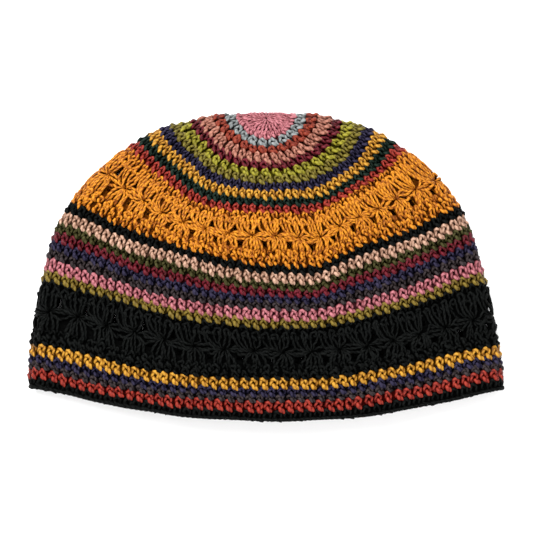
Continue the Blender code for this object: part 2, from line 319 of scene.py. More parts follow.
# The crown's far edge is pressed a little straighter than in the CAD source: the distance
# from the origin where that begins, and how much further the edge may reach
PRESS_START = 87.5
PRESS_ROOM = 1.6


def pressed(far):
    """Where a place that lies `far` from the origin towards the crown comes to lie."""
    over = np.maximum(far - PRESS_START, 0) / PRESS_ROOM
    return np.where(far > PRESS_START, PRESS_START + PRESS_ROOM * np.tanh(over), far)


# Points laid on the map: their world places, which way is outward there, and their height
Course = namedtuple("Course", "points outs heights")


class SurfaceMap:
    """The outer surface as a grid of places and outward directions, evenly spaced round
    each row, so that a share of the way round is a share of the row's length."""

    def __init__(self):
        disc = np.linspace(0.0, CROWN_EDGE, DISC_LEVELS, endpoint=False)
        rows = np.linspace(CROWN_EDGE, RIM, int((RIM - CROWN_EDGE) / MAP_STEP))
        self.fronts = np.concatenate((disc, rows))
        around = np.linspace(0.0, 1.0, TURN_STEPS + 1)
        shares = np.linspace(0.0, 1.0, MAP_SHARES + 1)
        self.places = np.empty((len(self.fronts), MAP_SHARES + 1, 3))
        self.lengths = np.empty(len(self.fronts))
        for i, front in enumerate(self.fronts):
            points = disc_points(front, around) if front < CROWN_EDGE else row_points(front, around)
            steps = np.linalg.norm(np.diff(points, axis=0), axis=1)
            length = np.concatenate(([0.0], np.cumsum(steps)))
            self.lengths[i] = length[-1]
            at = length / length[-1] if length[-1] > 0 else around
            turned = np.interp(shares, at, around)
            for axis in range(3):
                self.places[i, :, axis] = np.interp(turned, around, points[:, axis])
        self.places -= plan_middle()
        self.places[..., 1] = pressed(self.places[..., 1])
        self.normals = self.outward()

    def outward(self):
        """The outward direction at each place of the grid."""
        wrapped = np.concatenate((self.places[:, -2:-1], self.places, self.places[:, 1:2]), axis=1)
        along = wrapped[:, 2:] - wrapped[:, :-2]
        down = np.gradient(self.places, self.fronts, axis=0)
        along[0] = along[1]
        along = unit(along)
        down = square_to(down, along)
        normals = np.cross(down, along)
        normals[0] = unit(normals[1].mean(axis=0))
        return unit(normals)

    def weigh(self, grid, front, share):
        """Reads a grid between its points."""
        row = np.interp(front, self.fronts, np.arange(len(self.fronts)))
        i = np.clip(row.astype(int), 0, len(self.fronts) - 2)
        fi = (row - i)[..., None]
        column = (share % 1.0) * MAP_SHARES
        j = np.clip(column.astype(int), 0, MAP_SHARES - 1)
        fj = (column - j)[..., None]
        upper = grid[i, j] * (1 - fj) + grid[i, j + 1] * fj
        lower = grid[i + 1, j] * (1 - fj) + grid[i + 1, j + 1] * fj
        return upper * (1 - fi) + lower * fi

    def lay(self, front, share, height):
        """Takes points given on the map to their world places, in millimetres."""
        front, share, height = np.broadcast_arrays(front, share, height)
        front = front + stray(front, share)
        at = self.weigh(self.places, front, share)
        out = unit(self.weigh(self.normals, front, share))
        return Course(at + out * height[..., None], out, height)

    def length(self, front):
        """How long the row is."""
        return float(np.interp(front, self.fronts, self.lengths))


def spline_weights(corners, steps):
    """How a smooth curve through `corners` points weighs them at each of its `steps`."""
    weights = np.zeros((steps, corners))
    for row, t in zip(weights, np.linspace(0, corners - 1, steps)):
        i = min(int(t), corners - 2)
        f = t - i
        near = (
            (i - 1, -0.5 * f + f**2 - 0.5 * f**3),
            (i, 1 - 2.5 * f**2 + 1.5 * f**3),
            (i + 1, 0.5 * f + 2 * f**2 - 1.5 * f**3),
            (i + 2, -0.5 * f**2 + 0.5 * f**3),
        )
        for corner, weight in near:
            row[min(max(corner, 0), corners - 1)] += weight
    return weights


def smooth(points, steps):
    """Smooth curves through (curve, corner, value) points, at `steps` places each."""
    weights = spline_weights(points.shape[1], steps)
    return np.einsum("sc,ncv->nsv", weights, points)


# The yarn: two plies twisted together
PLY_DEPTH = 0.18
PLY_TURN = 6.2
FLOOR_GAP = 0.05

# How much deeper than it is a strand's side counts, for the shade that its neighbours cast
SIDE_DROP = 2.40

# Turns the guide of a tube's first side a little, so that a straight tube has one too
GUIDE_NUDGE = (0.01, 0.02, 0.03)

# The material slots of a piece
STRAND_SLOT = 0
FABRIC_SLOT = 1


def sides_along(along):
    """Directions square to each strand, which turn with it as little as they can."""
    side = np.empty_like(along)
    steps = along.shape[1]
    guide = np.cross(along[:, 0], along[:, steps // 2] + GUIDE_NUDGE)
    side[:, 0] = square_to(guide, along[:, 0])
    for step in range(1, steps):
        side[:, step] = square_to(side[:, step - 1], along[:, step])
    return side


class Mesh:
    """Gathers tubes and sheets, and makes one mesh of them."""

    def __init__(self):
        self.verts = []
        self.tones = []
        self.heights = []
        self.loops = []
        self.sizes = []
        self.uvs = []
        self.slots = []
        self.base = 0
        self.count = 0

    def add(self, verts, tones, heights, faces, uvs, slot):
        """Adds faces that all have the same number of corners, counted from these verts, or
        from the last ones added where there are none."""
        if verts is not None:
            self.verts.append(verts.reshape(-1, 3))
            self.tones.append(tones.reshape(-1))
            self.heights.append(heights.reshape(-1))
            self.base = self.count
            self.count += len(self.verts[-1])
        self.loops.append((faces + self.base).reshape(-1))
        self.sizes.append(np.full(len(faces), faces.shape[1]))
        self.uvs.append(uvs.reshape(-1, 2))
        self.slots.append(np.full(len(faces), slot))

    def tubes(self, course, radius, sides, tones):
        """Strands of yarn along (strand, step) points."""
        points = course.points
        strands, steps = points.shape[:2]
        radius = np.broadcast_to(radius, (strands, steps))
        along = unit(np.gradient(points, axis=1))
        apart = np.linalg.norm(np.diff(points, axis=1), axis=2)
        length = np.concatenate((np.zeros((strands, 1)), np.cumsum(apart, axis=1)), axis=1)
        side = sides_along(along)
        other = np.cross(along, side)
        angle = np.arange(sides) * 2 * math.pi / sides
        twist = length[..., None] * 2 * math.pi / PLY_TURN
        swell = 1 + PLY_DEPTH * np.cos(2 * (angle - twist))
        across = radius[..., None] * swell
        around = side[:, :, None] * (across * np.cos(angle))[..., None]
        around = around + other[:, :, None] * (across * np.sin(angle))[..., None]
        verts = points[:, :, None] + around
        # These heights only serve the painted shade between strands, so a strand's sides count
        # deeper than they lie
        rise = np.einsum("nsrv,nsv->nsr", around, course.outs)
        heights = course.heights[..., None] + SIDE_DROP * rise
        heights = heights - (SIDE_DROP - 1) * radius[..., None]
        verts[..., 2] = np.maximum(verts[..., 2], FLOOR_GAP)
        tone = np.broadcast_to(tones[:, None, None], (strands, steps, sides))
        faces, uvs = self.tube_walls(length, sides)
        self.add(verts, tone, heights, faces, uvs, STRAND_SLOT)
        self.tube_ends(length, sides)

    def tube_walls(self, length, sides):
        """The faces along the tubes, and their places on the map of strands: how far along
        a strand, and how far round it."""
        strands, steps = length.shape
        counts = (np.arange(strands), np.arange(steps - 1), np.arange(sides))
        n, i, j = np.meshgrid(*counts, indexing="ij")
        after = (j + 1) % sides
        corner = (n * steps + i) * sides
        ahead = corner + sides
        faces = np.stack((corner + j, corner + after, ahead + after, ahead + j), axis=-1)
        here = length[n, i]
        there = length[n, i + 1]
        u = np.stack((here, here, there, there), axis=-1)
        v = np.stack((j, j + 1, j + 1, j), axis=-1) / sides
        return faces.reshape(-1, 4), np.stack((u, v), axis=-1)

    def tube_ends(self, length, sides):
        """Closes both ends of the tubes added last."""
        strands, steps = length.shape
        begin = (np.arange(strands) * steps * sides)[:, None]
        first = begin + np.arange(sides)[::-1]
        last = begin + (steps - 1) * sides + np.arange(sides)
        for cap, at in ((first, length[:, 0]), (last, length[:, -1])):
            u = np.broadcast_to(at[:, None], cap.shape)
            v = np.broadcast_to(np.arange(sides) / sides, cap.shape)
            self.add(None, None, None, cap, np.stack((u, v), axis=-1), STRAND_SLOT)

    def sheet(self, course, uvs, keep, tone):
        """A sheet through (row, column) points that closes on itself round the columns.
        keep says which of its faces are there."""
        rows, columns = course.points.shape[:2]
        verts = course.points.copy()
        verts[..., 2] = np.maximum(verts[..., 2], FLOOR_GAP)
        i, j = np.meshgrid(np.arange(rows - 1), np.arange(columns), indexing="ij")
        after = (j + 1) % columns
        upper, lower = i * columns, (i + 1) * columns
        faces = np.stack((lower + j, lower + after, upper + after, upper + j), axis=-1)
        over, down = uvs
        left, right = over[j], over[j] + (over[1] - over[0])
        u = np.stack((left, right, right, left), axis=-1)
        v = np.stack((down[i + 1], down[i + 1], down[i], down[i]), axis=-1)
        places = np.stack((u, v), axis=-1)
        tones = np.full((rows, columns), tone)
        self.add(verts, tones, course.heights, faces[keep], places[keep], FABRIC_SLOT)

    def build(self, name, materials):
        """Makes the object."""
        data = bpy.data.meshes.new(name)
        verts = np.concatenate(self.verts) * MM
        loops = np.concatenate(self.loops)
        sizes = np.concatenate(self.sizes)
        starts = np.concatenate(([0], np.cumsum(sizes)[:-1]))
        slots = np.concatenate(self.slots)
        data.vertices.add(len(verts))
        data.vertices.foreach_set("co", verts.ravel())
        data.loops.add(len(loops))
        data.loops.foreach_set("vertex_index", loops.astype(np.int32))
        data.polygons.add(len(sizes))
        data.polygons.foreach_set("loop_start", starts.astype(np.int32))
        data.polygons.foreach_set("material_index", slots.astype(np.int32))
        data.update(calc_edges=True)
        layer = data.uv_layers.new(name="strand")
        layer.data.foreach_set("uv", np.concatenate(self.uvs).ravel())
        for label, values in (("tone", self.tones), ("height", self.heights)):
            layer = data.attributes.new(label, "FLOAT", "POINT")
            layer.data.foreach_set("value", np.concatenate(values).ravel())
        data.shade_smooth()
        for material in materials:
            data.materials.append(material)
        piece = bpy.data.objects.new(name, data)
        bpy.context.scene.collection.objects.link(piece)
        return piece


SURFACE = SurfaceMap()
CHANCE_SEED = 12
CHANCE = np.random.default_rng(CHANCE_SEED)

# How finely each kind of strand is drawn, along it and round it
ARCH_STEPS = 11
ARCH_SIDES = 8
TOOTH_STEPS = 6
TOOTH_SIDES = 7
STAR_STEPS = 10
STAR_SIDES = 6
TALL_STEPS = 21
WRAP_STEPS = 7

# A single crochet stitch. Its arch stands on two feet, and its tooth is the foot that shows
# below, drawn down over the next round. Across is in stitches, down in the round's own
# depth, and height in millimetres above the outer surface.
Corner = namedtuple("Corner", "across down height")
ARCH = (
    Corner(-0.72, 1.00, -2.10),
    Corner(-0.98, 0.82, -1.40),
    Corner(-1.04, 0.56, -1.10),
    Corner(-0.78, 0.29, -1.00),
    Corner(0.00, 0.19, -0.95),
    Corner(0.78, 0.29, -1.00),
    Corner(1.04, 0.56, -1.10),
    Corner(0.98, 0.82, -1.40),
    Corner(0.72, 1.00, -2.10),
)
ARCH_FULLNESS = (0.80, 0.92, 1.00, 1.15, 1.34, 1.15, 1.00, 0.92, 0.80)
TOOTH = (
    Corner(-0.18, 0.76, -1.80),
    Corner(-0.04, 0.82, -0.85),
    Corner(0.14, 0.92, -0.42),
    Corner(0.30, 1.00, -0.50),
    Corner(0.41, 1.05, -1.30),
)
TOOTH_DROP = (0.0, 0.10, 0.42, 0.80, 1.0)
TOOTH_FULLNESS = (0.85, 1.30, 1.52, 1.38, 0.92, 0.40)

# How unevenly the stitches are worked: how far, in stitches, they stand aside and lean, how
# much they tilt, and how much they differ in size, in height and in their yarn's thickness
ASIDE = 0.05
LEAN = 0.10
TILT = 0.13
SIZE = 0.07
UNEVEN = 0.18
UNEVEN_YARN = 0.05


def arch_corners(count, depth, half_width):
    """The corners of a round's arches, all alike."""
    corners = np.array([(c.across * half_width, c.down * depth, c.height) for c in ARCH])
    return np.repeat(corners[None], count, axis=0)


def tooth_corners(count, depth, reach):
    """The corners of a round's feet, drawn down by `reach` millimetres."""
    downs = [c.down * depth + drop * reach for c, drop in zip(TOOTH, TOOTH_DROP)]
    corners = np.array([(c.across, down, c.height) for c, down in zip(TOOTH, downs)])
    return np.repeat(corners[None], count, axis=0)


def lay_down(corners, start, count, phase, steps):
    """World curves through stitch corners, one stitch after another round a round."""
    local = smooth(corners, steps)
    share = (np.arange(count)[:, None] + phase + local[..., 0]) / count
    return SURFACE.lay(start + local[..., 1], share, local[..., 2])


def spread(values, steps):
    """Reads a short list of evenly spaced values at `steps` places."""
    return np.interp(np.linspace(0, len(values) - 1, steps), range(len(values)), values)


def shake(corners, depth, pitch, wildness):
    """Makes whole stitches uneven. pitch is the stitch's width in millimetres."""
    count = len(corners)
    chance = CHANCE.normal(0, wildness, (6, count, 1))
    across = corners[..., 0].copy()
    below = corners[..., 1] - depth / 2
    lean = LEAN * chance[2] * below / depth
    corners[..., 0] = across * (1 + SIZE * chance[0]) + ASIDE * chance[1] + lean
    corners[..., 1] += SIZE * chance[3] * below + TILT * chance[4] * across * pitch
    corners[..., 2] += UNEVEN * chance[5]


def single_crochet(mesh, start, depth, count, phase, half_width, reach, strand, wildness=1.0):
    """A round of single crochet."""
    tones = CHANCE.uniform(0, 1, count)
    pitch = SURFACE.length(start + depth / 2) / count
    arch = arch_corners(count, depth, half_width)
    shake(arch, depth, pitch, wildness)
    thick = strand * CHANCE.normal(1, UNEVEN_YARN, count)[:, None]
    fullness = thick * spread(ARCH_FULLNESS, ARCH_STEPS)
    mesh.tubes(lay_down(arch, start, count, phase, ARCH_STEPS), fullness, ARCH_SIDES, tones)
    if reach > 0:
        tooth = tooth_corners(count, depth, reach)
        shake(tooth, depth, pitch, wildness)
        fullness = thick * np.array(TOOTH_FULLNESS)
        mesh.tubes(lay_down(tooth, start, count, phase, TOOTH_STEPS), fullness, TOOTH_SIDES, tones)


# The backing: the dense middle of the fabric, which closes the view between the strands. Its
# outer sheet is painted dark by its material, as painted shade deep between the stitches.
BACK_COLUMNS = 198
BACK_HEIGHT = -2.5
BACK_ROWS = 3
BACK_SHIFT = 1.2


def backing(mesh, start, end, rows, columns, keep=None):
    """The middle of the fabric and its inner side."""
    levels = np.linspace(start, end, rows)
    shares = np.arange(columns) / columns
    front, share = np.meshgrid(levels, shares, indexing="ij")
    if keep is None:
        keep = np.full((rows - 1, columns), True)
    uvs = (shares * columns / 2, levels)
    # The outer sheet's tone of 0 gives it painted shade, as deep between the stitches; the inner
    # one's 1 does not
    for height, tone in ((BACK_HEIGHT, 0.0), (-WALL, 1.0)):
        mesh.sheet(SURFACE.lay(front, share, height), uvs, keep, tone)


def crochet_round(part, start, phase):
    """A plain round, with the fabric behind it."""
    mesh = Mesh()
    single_crochet(mesh, start, part.depth, part.count, phase, part.arch, part.tooth, part.strand)
    last = part.node.startswith("rim")
    end = start + part.depth + (0.0 if last else BACK_SHIFT)
    backing(mesh, start + BACK_SHIFT, end, BACK_ROWS, BACK_COLUMNS)
    return mesh


# The star bands. Down is in millimetres from the band's upper edge, across in stars. The
# strands' inner corners stray by STAR_WILDNESS, and their thickness varies by UNEVEN_STRAND.
STARS = 33
STAR_LINE = 15.7
STAR_TOP = 3.4
STAR_FOOT = 23.2
STAR_EYE = 0.035
STAR_PLACE = 0.85
STAR_STRAND = 1.00
STAR_FULLNESS = (0.40, 0.66, 0.90, 1.00, 1.00)
WRAP_FULLNESS = (0.50, 0.85, 0.95, 0.85, 0.50)
STAR_WILDNESS = Corner(0.034, 0.65, 0.30)
UNEVEN_STRAND = 0.08
UPPER_STITCHES = 3
UPPER_REACH = 0.43
UPPER_LEAN = -0.24
WRAP_DOWN = 7.0
LOWER_STRANDS = 6
LOWER_REACH = 0.35
SIDE_STRANDS = (
    Corner(-0.60, -1.8, -0.45),
    Corner(-0.66, 0.2, -0.35),
    Corner(-0.58, 2.1, -0.50),
    Corner(0.56, -2.2, -0.45),
    Corner(0.62, -0.2, -0.35),
    Corner(0.55, 2.0, -0.60),
)

# The stars aren't evenly spaced, and their line rises and falls: by how much, and at which
# share of the way round that begins
STAR_DRIFT = 0.15
DRIFT_START = 0.125
LINE_SWING = 1.5
LINE_START = 0.10

# The rows of single crochet above and below the stars: where they lie, how far their feet
# reach and how wildly they are worked
BAND_TOP_DEPTH = 3.8
BAND_TOP_WILDNESS = 1.3
GATHER_DOWN = 22.4
GATHER_COUNT = 4 * STARS
GATHER_REACH = 1.2
GATHER_STRAND = 0.85
GATHER_WILDNESS = 2.6
BAND_LAST_DOWN = 26.2
BAND_LAST_COUNT = 3 * STARS
BAND_LAST_WILDNESS = 1.8


def star_share(star):
    """The share of the way round of a place given in stars from the left fold."""
    even = star / STARS
    return even + STAR_DRIFT / STARS * np.sin(4 * math.pi * (even - DRIFT_START))


def star_down(down, share):
    """Bends the band so that the line of stars rises and falls between straight edges."""
    above = (down - STAR_TOP) / (STAR_LINE - STAR_TOP)
    below = (STAR_FOOT + 1 - down) / (STAR_FOOT + 1 - STAR_LINE)
    bend = np.clip(np.minimum(above, below), 0, 1)
    return down - bend * LINE_SWING * np.cos(2 * math.pi * (share - LINE_START))


def star_strands(mesh, paths, start, steps, fullness):
    """Draws strands, given in stars and millimetres, at every star of a band."""
    corners = np.concatenate([np.repeat(np.array(path)[None], STARS, axis=0) for path in paths])
    inner = corners[:, 1:-1]
    inner += CHANCE.normal(0, 1, inner.shape) * STAR_WILDNESS
    local = smooth(corners, steps)
    share = star_share(np.tile(np.arange(STARS), len(paths))[:, None] + STAR_PLACE + local[..., 0])
    course = SURFACE.lay(start + star_down(local[..., 1], share), share, local[..., 2])
    uneven = CHANCE.normal(1, UNEVEN_STRAND, (len(corners), 1))
    thick = STAR_STRAND * spread(fullness, steps) * uneven
    mesh.tubes(course, thick, STAR_SIDES, CHANCE.uniform(0, 1, len(corners)))


def upper_leg(at):
    """One leg of a tall stitch, from the star up to the stitch's head. at runs from -1 at
    the fan's left edge to 1 at its right one."""
    top = at * UPPER_REACH + UPPER_LEAN
    away = 2.0 * abs(top)
    return (
        (at * STAR_EYE, STAR_LINE - 0.5, -2.0),
        (top * 0.42, STAR_LINE - 2.2 + away, -0.50),
        (top * 0.84, STAR_LINE - 4.6 + away, -0.40),
        (top, STAR_LINE - 8.0, -0.45),
        (top, STAR_TOP + 1.6, -0.45),
    )


def upper_stitch(at, half_width):
    """A tall stitch: up one leg, over its head and down the other one."""
    left, right = upper_leg(at - half_width), upper_leg(at + half_width)
    head = at * UPPER_REACH + UPPER_LEAN
    return (*left, (head, STAR_TOP, -0.40), *right[::-1])


def post_wrap(at):
    """The turn of yarn that crosses a leg below its stitch's head."""
    top = at * UPPER_REACH + UPPER_LEAN
    return (
        (top - 0.065, WRAP_DOWN - 1.1, -1.5),
        (top - 0.025, WRAP_DOWN - 0.4, -0.25),
        (top + 0.030, WRAP_DOWN + 0.4, -0.25),
        (top + 0.065, WRAP_DOWN + 1.1, -1.5),
    )


def lower_path(at):
    """A strand that fans out from the star down to the last rounds."""
    foot = at * LOWER_REACH
    return (
        (at * STAR_EYE, STAR_LINE + 0.5, -1.9),
        (foot * 0.46, STAR_LINE + 1.8 - 0.7 * abs(at), -0.35),
        (foot * 0.86, STAR_LINE + 3.6 - 0.6 * abs(at), -0.25),
        (foot, STAR_FOOT - 1.6, -0.35),
        (foot, STAR_FOOT + 0.8, -2.0),
    )


def side_path(end):
    """A strand that runs from the star towards its neighbour."""
    inward = math.copysign(STAR_EYE, end.across)
    return (
        (inward, STAR_LINE + 0.12 * end.down, -1.9),
        (end.across * 0.35, STAR_LINE + 0.55 * end.down, end.height),
        (end.across * 0.72, STAR_LINE + 1.00 * end.down, end.height + 0.1),
        (end.across, STAR_LINE + end.down * 0.9, -1.9),
    )


def draw_stars(mesh, start):
    """The tall stitches above the line of stars, and the strands beside it and below it."""
    places = np.linspace(-1, 1, 2 * UPPER_STITCHES)
    half_width = 1 / (2 * UPPER_STITCHES - 1)
    stitches = [upper_stitch(at + half_width, half_width) for at in places[::2]]
    star_strands(mesh, stitches, start, TALL_STEPS, STAR_FULLNESS + STAR_FULLNESS[::-1])
    star_strands(mesh, [post_wrap(at) for at in places], start, WRAP_STEPS, WRAP_FULLNESS)
    star_strands(mesh, [side_path(end) for end in SIDE_STRANDS], start, STAR_STEPS, STAR_FULLNESS)
    lower = [lower_path(at) for at in np.linspace(-1, 1, LOWER_STRANDS)]
    star_strands(mesh, lower, start, STAR_STEPS, STAR_FULLNESS)


def star_band(part, start, phase):
    """A row of single crochet, the stars, two more rows, and the fabric behind them."""
    mesh = Mesh()
    single_crochet(
        mesh, start, BAND_TOP_DEPTH, part.count, phase, part.arch,
        reach=0.0, strand=part.strand, wildness=BAND_TOP_WILDNESS,
    )
    draw_stars(mesh, start)
    single_crochet(
        mesh, start + GATHER_DOWN, BAND_LAST_DOWN - GATHER_DOWN, GATHER_COUNT, phase, part.arch,
        reach=GATHER_REACH, strand=GATHER_STRAND, wildness=GATHER_WILDNESS,
    )
    single_crochet(
        mesh, start + BAND_LAST_DOWN, part.depth - BAND_LAST_DOWN, BAND_LAST_COUNT, phase, part.arch,
        reach=part.tooth, strand=part.strand, wildness=BAND_LAST_WILDNESS,
    )
    backing_with_eyelets(mesh, start, part.depth)
    return mesh


# The openings between the fans, above the line of stars and below it. The upper ones are
# longer at the left fold than at the right one, and the lower ones the other way round.
EYELET_ROWS = 24
EYELET_COLUMNS = 13
Eyelet = namedtuple("Eyelet", "place down half_width half_height stretch")
EYELETS = (
    Eyelet(0.25, 10.8, 0.10, 2.6, 0.45),
    Eyelet(0.50, 20.0, 0.12, 2.1, -0.9),
)


def backing_with_eyelets(mesh, start, depth):
    """The middle of a star band's fabric, open between the fans."""
    columns = EYELET_COLUMNS * STARS
    levels = (np.arange(EYELET_ROWS - 1) + 0.5) * depth / (EYELET_ROWS - 1) + BACK_SHIFT
    down = levels[:, None]
    share = ((np.arange(columns) + 0.5) / columns)[None]
    stars = share * STARS - STAR_DRIFT * np.sin(4 * math.pi * (share - DRIFT_START))
    keep = np.full((EYELET_ROWS - 1, columns), True)
    for eyelet in EYELETS:
        across = (stars - STAR_PLACE - eyelet.place + 0.5) % 1.0 - 0.5
        middle = star_down(eyelet.down, share)
        half_height = eyelet.half_height * (1 + eyelet.stretch * np.cos(2 * math.pi * share))
        keep &= ((down - middle) / half_height) ** 2 + (across / eyelet.half_width) ** 2 > 1
    backing(mesh, start + BACK_SHIFT, start + depth + BACK_SHIFT, EYELET_ROWS, columns, keep)


# The crown centre: long stitches from the pole, short ones between them, and a last round.
# The strands stray sideways, in strands, and differ in where they start and how high they lie.
CROWN_STRANDS = 15
CROWN_STRAND = 1.05
CROWN_STARTS = (0.3, 2.8)
CROWN_END = 9.0
CROWN_HEIGHTS = (-0.6, -0.45, -0.4, -0.45, -2.0)
CROWN_FULLNESS = (0.48, 0.72, 0.88, 0.97, 1.0)
CROWN_ASIDE = 0.04
CROWN_RAGGED = 0.4
CROWN_UNEVEN = 0.12
CROWN_LAST = 7.9
CROWN_LAST_REACH = 0.6
CROWN_LAST_WILDNESS = 1.4
CROWN_BACK_START = 0.01
CROWN_BACK_ROWS = 8


def crown(part, start, phase):
    """The closed disc in the middle of the crown."""
    mesh = Mesh()
    corners = len(CROWN_HEIGHTS)
    for inner, offset in zip(CROWN_STARTS, (0.0, 0.5)):
        path = np.empty((CROWN_STRANDS, corners, 3))
        path[..., 0] = CHANCE.normal(0, CROWN_ASIDE, (CROWN_STRANDS, corners))
        begin = inner + CHANCE.uniform(0, CROWN_RAGGED, (CROWN_STRANDS, 1))
        path[..., 1] = begin + (CROWN_END - begin) * np.linspace(0, 1, corners)
        path[..., 2] = CROWN_HEIGHTS + CHANCE.normal(0, CROWN_UNEVEN, (CROWN_STRANDS, 1))
        course = lay_down(path, start, CROWN_STRANDS, offset, STAR_STEPS)
        thick = CROWN_STRAND * spread(CROWN_FULLNESS, STAR_STEPS)
        mesh.tubes(course, thick, STAR_SIDES, CHANCE.uniform(0, 1, CROWN_STRANDS))
    single_crochet(
        mesh, start + CROWN_LAST, part.depth - CROWN_LAST, part.count, phase, part.arch,
        reach=CROWN_LAST_REACH, strand=part.strand, wildness=CROWN_LAST_WILDNESS,
    )
    end = start + part.depth + BACK_SHIFT
    backing(mesh, start + CROWN_BACK_START, end, CROWN_BACK_ROWS, BACK_COLUMNS)
    return mesh


# The edge below the rim's round: a cord, and the slip stitches that wrap it
EDGE_DROP = 5.9
EDGE_SAG = 0.7
EDGE_RADIUS = 1.05
EDGE_STEPS = 400
EDGE_TONE = 0.5
WRAP_STRAND = 0.72
WRAP = (
    Corner(-0.55, -0.9, -1.6),
    Corner(-0.22, -0.6, -0.8),
    Corner(0.20, 0.0, -0.7),
    Corner(0.55, 0.3, -1.5),
)


def edge_drop(share):
    """How far down the rim's round its edge lies, which is further at the folds."""
    return EDGE_DROP + EDGE_SAG * np.cos(2 * math.pi * share) ** 2


def rim(part, start, phase):
    """The last round, with its edge."""
    mesh = crochet_round(part, start, phase)
    share = np.linspace(0, 1, EDGE_STEPS)
    edge = SURFACE.lay(start + edge_drop(share)[None], share[None], -EDGE_RADIUS)
    mesh.tubes(edge, EDGE_RADIUS, ARCH_SIDES, np.array((EDGE_TONE,)))
    wrap = np.repeat(np.array(WRAP)[None], part.count, axis=0)
    place = np.arange(part.count)[:, None] / part.count
    wrap[..., 1] += edge_drop(place)
    shake(wrap, part.depth, SURFACE.length(start) / part.count, wildness=1.0)
    course = lay_down(wrap, start, part.count, phase, WRAP_STEPS)
    mesh.tubes(course, WRAP_STRAND, TOOTH_SIDES, CHANCE.uniform(0, 1, part.count))
    return mesh


# The range that most of a noise's values lie in
NOISE_LOW = 0.36
NOISE_HIGH = 0.64


def link(tree, source, target):
    tree.links.new(source, target)


def math_node(tree, operation, *values):
    """A math node, fed by numbers or by other nodes' outputs."""
    node = tree.nodes.new("ShaderNodeMath")
    node.operation = operation
    for socket, value in zip(node.inputs, values):
        if isinstance(value, (int, float)):
            socket.default_value = value
        else:
            link(tree, value, socket)
    return node.outputs[0]


def attribute(tree, name):
    """Reads one of the values that the mesh holds at its points."""
    node = tree.nodes.new("ShaderNodeAttribute")
    node.attribute_name = name
    return node.outputs["Fac"]


def noise(tree, vector, scale, detail):
    """A noise from 0 to 1 at the places of `vector`."""
    node = tree.nodes.new("ShaderNodeTexNoise")
    node.inputs["Scale"].default_value = scale
    node.inputs["Detail"].default_value = detail
    link(tree, vector, node.inputs["Vector"])
    return node.outputs["Fac"]


def sharpen(tree, value):
    """Spreads a noise's middle values over the whole range from 0 to 1."""
    node = tree.nodes.new("ShaderNodeMapRange")
    node.inputs["From Min"].default_value = NOISE_LOW
    node.inputs["From Max"].default_value = NOISE_HIGH
    link(tree, value, node.inputs["Value"])
    return node.outputs["Result"]


# The colour of yarn in the shade of yarn: darker, and richer in its own hue. A yarn is dark
# where the strongest part of its colour is DARK at most.
DARK = 0.08
DEEP_TINT = 0.04
MIDDLE_TINT = 0.34
DARK_MIDDLE_TINT = 0.19
MIDDLE_PLACE = 0.45
DEEP_HUE = 0.5

# How much light bright yarn, dark yarn and the fabric behind them throw back
GLOSS = 0.15
DARK_GLOSS = 0.025
FABRIC_GLOSS = 0.04


def yarn_shader(tree, yarn, shade, height, distance):
    """A matt cotton, dark and deeper in hue where shade is low, with height as its relief."""
    tint = tree.nodes.new("ShaderNodeValToRGB")
    tint.color_ramp.elements.new(MIDDLE_PLACE)
    strongest = max(yarn)
    bright = strongest > DARK
    richer = [part * (part / strongest) ** DEEP_HUE for part in yarn]
    deep = [DEEP_TINT * part for part in richer]
    middle_tint = MIDDLE_TINT if bright else DARK_MIDDLE_TINT
    middle = [middle_tint * part for part in richer]
    for stop, color in zip(tint.color_ramp.elements, (deep, middle, yarn)):
        stop.color = (*color, 1.0)
    link(tree, shade, tint.inputs["Fac"])
    shader = tree.nodes["Principled BSDF"]
    link(tree, tint.outputs["Color"], shader.inputs["Base Color"])
    bump = tree.nodes.new("ShaderNodeBump")
    bump.inputs["Distance"].default_value = distance * MM
    link(tree, height, bump.inputs["Height"])
    link(tree, bump.outputs[0], shader.inputs["Normal"])
    shader.inputs["Specular IOR Level"].default_value = GLOSS if bright else DARK_GLOSS
    return shader


# The shade that the strands cast on one another, by the height above the outer surface
DEEP = -2.6
DEEP_SHADE = 0.10
PROUD = 0.1


def depth_shade(tree):
    """Darkens the yarn where it dives between its neighbours."""
    reach = tree.nodes.new("ShaderNodeMapRange")
    reach.inputs["From Min"].default_value = DEEP
    reach.inputs["From Max"].default_value = PROUD
    reach.inputs["To Min"].default_value = DEEP_SHADE
    link(tree, attribute(tree, "height"), reach.inputs["Value"])
    return reach.outputs["Result"]


def new_material(name):
    """A material's nodes, with the two coordinates of its mesh's map of strands."""
    material = bpy.data.materials.new(name)
    material.use_nodes = True
    tree = material.node_tree
    place = tree.nodes.new("ShaderNodeUVMap")
    place.uv_map = "strand"
    parts = tree.nodes.new("ShaderNodeSeparateXYZ")
    link(tree, place.outputs[0], parts.inputs[0])
    return tree, parts.outputs[0], parts.outputs[1]


# How much a strand's tone, plies, fibres and flecks count in its shade, which starts from
# SHADE_START, and how fine the fibres and the flecks are. This shade is painted into the
# colour. The tone differs at random from strand to strand. The plies add painted shade in the
# grooves between them and painted light on their crests. The fibres and flecks are random
# streaks and spots of the yarn that also stand in for glints of light on it.
SHADE_START = 0.22
TONE_SHADE = 0.14
PLY_SHADE = 0.34
FIBRE_GLINT_SHADE = 0.22
FLECK_GLINT_SHADE = 0.24
FIBRE_ACROSS = 5.0
FIBRE_ALONG = 0.35
FIBRE_APART = 40.0
FIBRE_SCALE = 3.0
FIBRE_DETAIL = 3.0
FLECK_GLINT_SCALE = 620.0
FLECK_GLINT_DETAIL = 1.0

# The relief of a strand, in millimetres, the fibres' part in it, and its roughness
STRAND_RELIEF = 0.22
FIBRE_RELIEF = 0.35
STRAND_ROUGHNESS = 0.40
FIBRE_ROUGHNESS = 0.20


